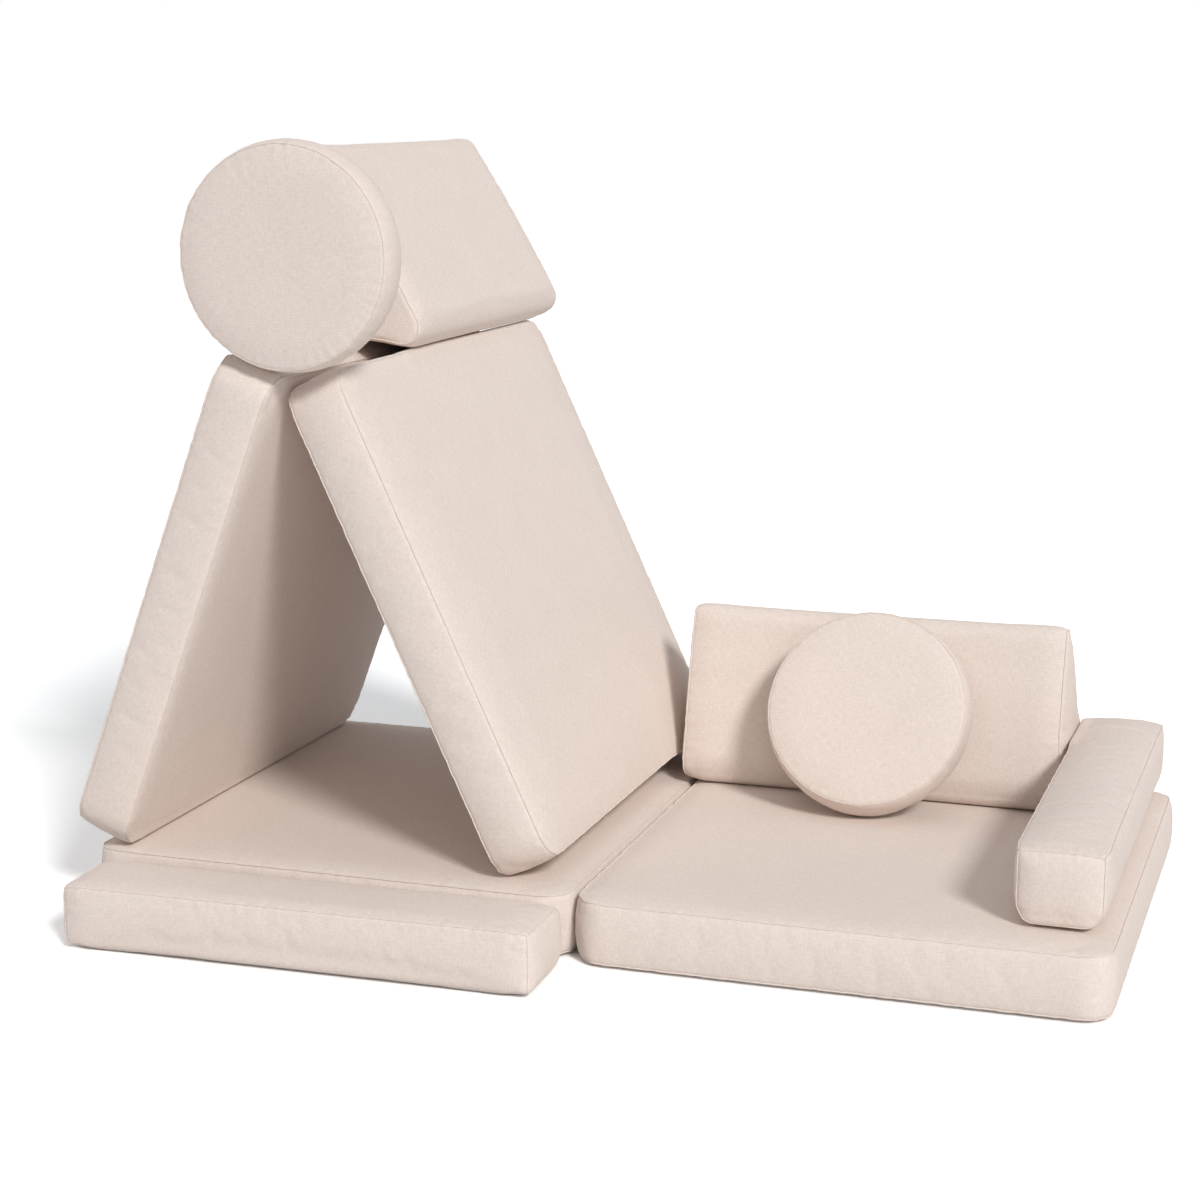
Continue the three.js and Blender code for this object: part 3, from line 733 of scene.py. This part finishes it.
def grained(name, dark, light, scale, roughness, metallic=0.0):
    """A material with one fine grain in its colour and its relief. Scale is in grains to the metre."""
    material, tree = new_material(name)
    place = add_node(tree, "ShaderNodeTexCoord").outputs["Object"]
    grain = add_node(tree, "ShaderNodeTexNoise", [("Vector", place)], [("Scale", scale), ("Detail", 3)])
    ramp = add_node(tree, "ShaderNodeValToRGB", [("Fac", grain.outputs["Fac"])])
    for element, position, colour in zip(ramp.color_ramp.elements, (0.35, 0.65), (dark, light)):
        element.position = position
        element.color = linear(colour)
    surface = (("Roughness", roughness), ("Metallic", metallic))
    finish_material(tree, ramp.outputs["Color"], grain.outputs["Fac"], 0.5 * MM, 0.4, surface)
    return material


def seen_ray(tree):
    """1 for a ray that shows the background, directly or in metal or glass, and 0 for all others."""
    path = add_node(tree, "ShaderNodeLightPath")
    seen = path.outputs["Is Camera Ray"]
    for kind in ("Is Glossy Ray", "Is Transmission Ray"):
        links = [(0, seen), (1, path.outputs[kind])]
        seen = add_node(tree, "ShaderNodeMath", links, operation="MAXIMUM").outputs[0]
    return seen


def studio_floor():
    """A smooth white floor. Its shown colour is above white, so that it clips to white beside the
    object under lamps set for the cloth, and it throws light back as a pale grey floor does."""
    material, tree = new_material("white_studio_floor")
    shown = add_node(tree, "ShaderNodeBsdfDiffuse", (), [("Color", (1.34, 1.34, 1.34, 1))])
    lit = add_node(tree, "ShaderNodeBsdfDiffuse", (), [("Color", (0.8, 0.8, 0.8, 1))])
    links = [(0, seen_ray(tree)), (1, lit.outputs[0]), (2, shown.outputs[0])]
    mix = add_node(tree, "ShaderNodeMixShader", links)
    add_node(tree, "ShaderNodeOutputMaterial", [("Surface", mix.outputs[0])])
    return material


def wear(obj, material):
    """Gives an object this one material."""
    obj.data.materials.clear()
    obj.data.materials.append(material)


linen = woven_linen()
# Open-cell polyurethane foam, sawn: cream and dull, pitted with cells of 0.7 mm.
foam = grained("polyurethane_foam", "#E3D6AE", "#F3EACB", 1500, 0.9)
# Woven polyester zip tape, dyed near the cloth's colour: dull, its grain as fine as its ribs, 0.7 mm.
tape = grained("woven_polyester_tape", "#B9AA9C", "#D5C8BB", 1400, 0.8)
# Die-cast zinc alloy, tumbled to a satin: a soft grey shine, clouded every 1.1 mm.
metal = grained("satin_zinc_alloy", "#A8A29A", "#BDB7AE", 900, 0.38, 1.0)

for name, cover in covers.items():
    wear(cover, linen)
    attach(cover, name)
    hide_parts(name + "_cover")
    wear(welts[name], linen)
    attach(welts[name], name)
    wear(cores[name], foam)
    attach(cores[name], name)
    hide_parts(name + "_foam")
    wear(frame["nodes"][name + "_zip"], tape)
    wear(frame["nodes"][name + "_slider"], metal)

# Floor and light

deselect_all()
bpy.ops.mesh.primitive_grid_add(x_subdivisions=2, y_subdivisions=2, size=40, location=(0, 0, -0.5 * MM))
floor = bpy.context.view_layer.objects.active
floor.name = "studio_floor"
bpy.ops.object.transform_apply(location=True, rotation=True, scale=True)
wear(floor, studio_floor())

world = bpy.data.worlds.new("studio")
scene.world = world
world.use_nodes = True
tree = world.node_tree
tree.nodes.clear()
sky = add_node(tree, "ShaderNodeBackground", (), [("Color", (0.97, 1.0, 1.03, 1)), ("Strength", 0.28)])
white = add_node(tree, "ShaderNodeBackground", (), [("Color", (1, 1, 1, 1)), ("Strength", 1.0)])
mix = add_node(
    tree, "ShaderNodeMixShader", [(0, seen_ray(tree)), (1, sky.outputs[0]), (2, white.outputs[0])])
add_node(tree, "ShaderNodeOutputWorld", [("Surface", mix.outputs[0])])


def from_direction(azimuth, height):
    """The way to a light, azimuth counted from the front towards the right, in degrees."""
    turn, rise = math.radians(azimuth), math.radians(height)
    return Vector((math.sin(turn) * math.cos(rise), -math.cos(turn) * math.cos(rise), math.sin(rise)))


def add_light(name, kind, way, **settings):
    """Adds a lamp that shines from that way, with its settings."""
    light = bpy.data.lights.new(name, kind)
    for key, value in settings.items():
        setattr(light, key, value)
    obj = bpy.data.objects.new(name, light)
    obj.rotation_euler = way.to_track_quat("Z", "Y").to_euler()
    scene.collection.objects.link(obj)
    return obj


# The key light comes from the front right, as the photograph's shadows show, and the rest lift the
# sides that it leaves dark.
add_light("key_light", "SUN", from_direction(44, 36), angle=math.radians(12), energy=2.18)
add_light("rear_fill", "SUN", from_direction(180, 30), angle=math.radians(50), energy=0.2)
add_light("left_fill", "SUN", from_direction(-100, 22), angle=math.radians(50), energy=0.5)
add_light("top_fill", "SUN", from_direction(0, 88), angle=math.radians(60), energy=0.35)
# A soft round lamp that shines on the front of the seat.
SEAT_FRONT = Vector((0.55, -0.4, 0.1))
FRONT_FILL_AWAY = 2.6
front_way = from_direction(25, 14)
front_fill = add_light("front_fill", "AREA", front_way, shape="DISK", size=1.4, energy=6)
front_fill.location = SEAT_FRONT + front_way * FRONT_FILL_AWAY
